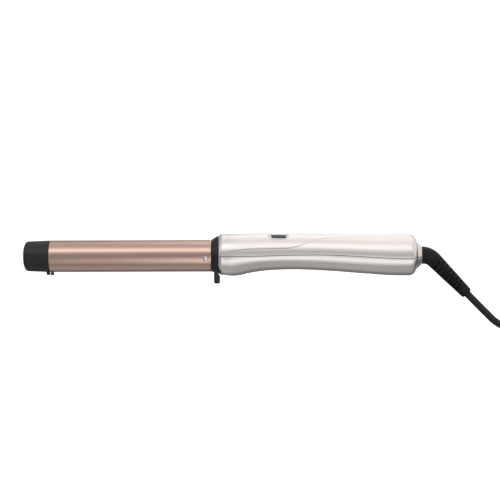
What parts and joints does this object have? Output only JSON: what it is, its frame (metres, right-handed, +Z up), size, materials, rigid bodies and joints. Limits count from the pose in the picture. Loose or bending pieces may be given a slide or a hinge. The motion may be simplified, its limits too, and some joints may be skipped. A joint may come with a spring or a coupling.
{
  "type": "curling iron",
  "caption": "Clipless curling iron: rose gold barrel with a black cool tip, pearl two-shell handle with display window and push buttons, stand foot, cord swivel and mains lead.",
  "frame": {"origin": "middle of the handle's grip, on the barrel's axis, at mount hand_grip", "axes": "+X along the barrel's axis from the cool tip to the cord, +Z up to the display and buttons"},
  "size_m": [0.5757, 0.0588, 0.0877],
  "materials": {
    "heatproof_black": "satin heat-resistant moulding, fine grain",
    "rose_gold_barrel": "satin rose gold coating, drawn along the barrel",
    "pearl_plastic": "glossy pearl champagne lacquer",
    "bezel_plastic": "glossy light pearl",
    "smoked_lens": "polished smoked lens",
    "display_glass": "display module",
    "bright_steel": "bright zinc-plated steel",
    "dark_steel": "blackened steel",
    "plain_aluminium": "extruded",
    "white_ceramic": "fired alumina",
    "circuit_board": "solder mask",
    "chip_epoxy": "moulded epoxy",
    "capacitor_sleeve": "shrink sleeve",
    "lead_sleeve": "silicone and glass sleeve",
    "inner_black": "moulded",
    "spring_brass": "rolled",
    "black_rubber": "soft matt moulding",
    "cord_jacket": "smooth PVC sheath",
    "tie_plastic": "ribbed nylon",
    "plug_plastic": "satin moulding",
    "plug_brass": "nickel-plated"
  },
  "bodies": {
    "handle": {"cool_tip": "heatproof_black", "tip_screw": "dark_steel", "barrel_tube": "rose_gold_barrel", "heat_spreader_upper": "plain_aluminium", "heat_spreader_lower": "plain_aluminium", "ceramic_heater": "white_ceramic", "barrel_holder": "heatproof_black", "barrel_rivet_left": "bright_steel", "barrel_rivet_right": "bright_steel", "front_collar": "heatproof_black", "stand_foot": "heatproof_black", "lower_shell": "pearl_plastic", "upper_shell": "pearl_plastic", "top_fascia": "pearl_plastic", "display_bezel": "bezel_plastic", "display_window": "smoked_lens", "display_module": "display_glass", "power_switch": "bright_steel", "plus_switch": "bright_steel", "minus_switch": "bright_steel", "main_board": "circuit_board", "board_screw_front": "bright_steel", "board_screw_rear": "bright_steel", "handle_screw_front": "dark_steel", "handle_screw_rear": "dark_steel", "control_chip": "chip_epoxy", "power_triac": "chip_epoxy", "smoothing_capacitor": "capacitor_sleeve", "fuse_lead": "lead_sleeve", "thermal_fuse": "white_ceramic", "heater_lead_left": "lead_sleeve", "heater_lead_right": "lead_sleeve", "temperature_sensor": "white_ceramic", "sensor_lead": "lead_sleeve", "mains_lead_live": "lead_sleeve", "mains_lead_neutral": "lead_sleeve", "swivel_socket": "inner_black", "brush_live": "spring_brass", "brush_neutral": "spring_brass", "cord": "cord_jacket", "cord_hank": "cord_jacket", "cable_tie": "tie_plastic", "plug_strain_relief": "black_rubber", "plug_body": "plug_plastic", "plug_pin_left": "plug_brass", "plug_pin_right": "plug_brass"},
    "cord_swivel": {"swivel_drum": "inner_black", "slip_ring_live": "spring_brass", "slip_ring_neutral": "spring_brass", "cord_guard": "black_rubber"},
    "power_key": {"power_button": "bezel_plastic"},
    "plus_key": {"plus_button": "bezel_plastic"},
    "minus_key": {"minus_button": "bezel_plastic"}
  },
  "joints": [
    {"name": "cord_swivel_turn", "type": "hinge", "parent": "handle", "child": "cord_swivel", "pos_m": [0.088, 0, 0], "axis": [1, 0, 0], "continuous": true},
    {"name": "power_press", "type": "slide", "parent": "handle", "child": "power_key", "axis": [0, 0, -1], "range_m": [0, 0.0005], "stiffness_N_per_m": 400},
    {"name": "plus_press", "type": "slide", "parent": "handle", "child": "plus_key", "axis": [0, 0, -1], "range_m": [0, 0.0005], "stiffness_N_per_m": 400},
    {"name": "minus_press", "type": "slide", "parent": "handle", "child": "minus_key", "axis": [0, 0, -1], "range_m": [0, 0.0005], "stiffness_N_per_m": 400}
  ]
}
